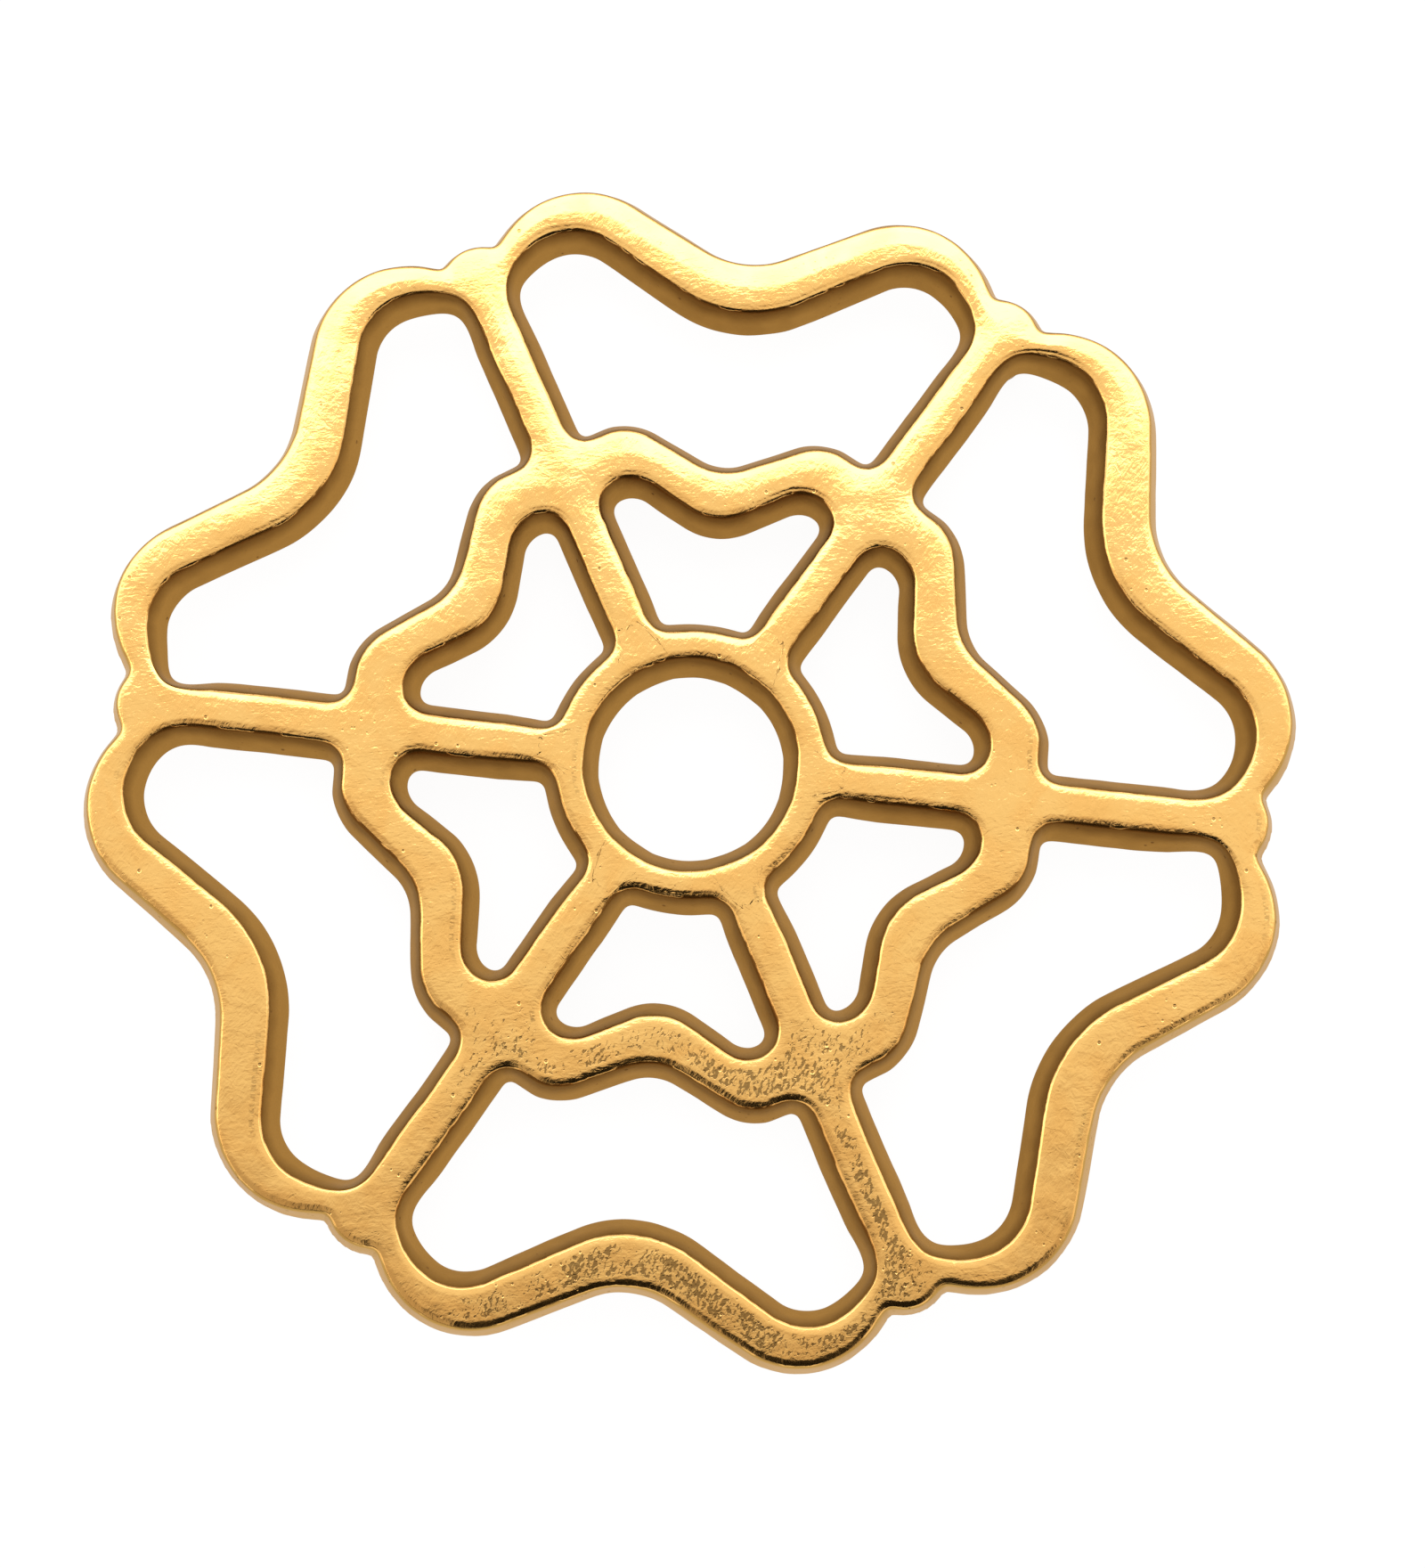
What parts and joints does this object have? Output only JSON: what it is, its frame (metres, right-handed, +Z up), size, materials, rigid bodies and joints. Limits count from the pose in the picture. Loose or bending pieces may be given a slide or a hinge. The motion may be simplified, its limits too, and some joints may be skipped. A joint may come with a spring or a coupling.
{
  "type": "trivet",
  "caption": "Openwork cast brass trivet shaped as a layered rose of two-lobed petals on spokes round a hub ring, standing on short feet.",
  "frame": {"origin": "on the table under the middle of the hub ring", "axes": "+Z up out of the polished top, +X out along spoke 1"},
  "size_m": [0.1776, 0.1724, 0.014],
  "materials": {
    "polished_brass": "buffed top with a fine orange-peel, satin cast walls",
    "cast_brass": "satin, as cast"
  },
  "bodies": {
    "root": {"hub_ring": "polished_brass", "spoke_1": "polished_brass", "spoke_2": "polished_brass", "spoke_3": "polished_brass", "spoke_4": "polished_brass", "spoke_5": "polished_brass", "spoke_6": "polished_brass", "inner_petal_1": "polished_brass", "inner_petal_2": "polished_brass", "inner_petal_3": "polished_brass", "inner_petal_4": "polished_brass", "inner_petal_5": "polished_brass", "inner_petal_6": "polished_brass", "outer_petal_1": "polished_brass", "outer_petal_2": "polished_brass", "outer_petal_3": "polished_brass", "outer_petal_4": "polished_brass", "outer_petal_5": "polished_brass", "outer_petal_6": "polished_brass", "foot_1": "cast_brass", "foot_2": "cast_brass", "foot_3": "cast_brass"}
  },
  "joints": []
}
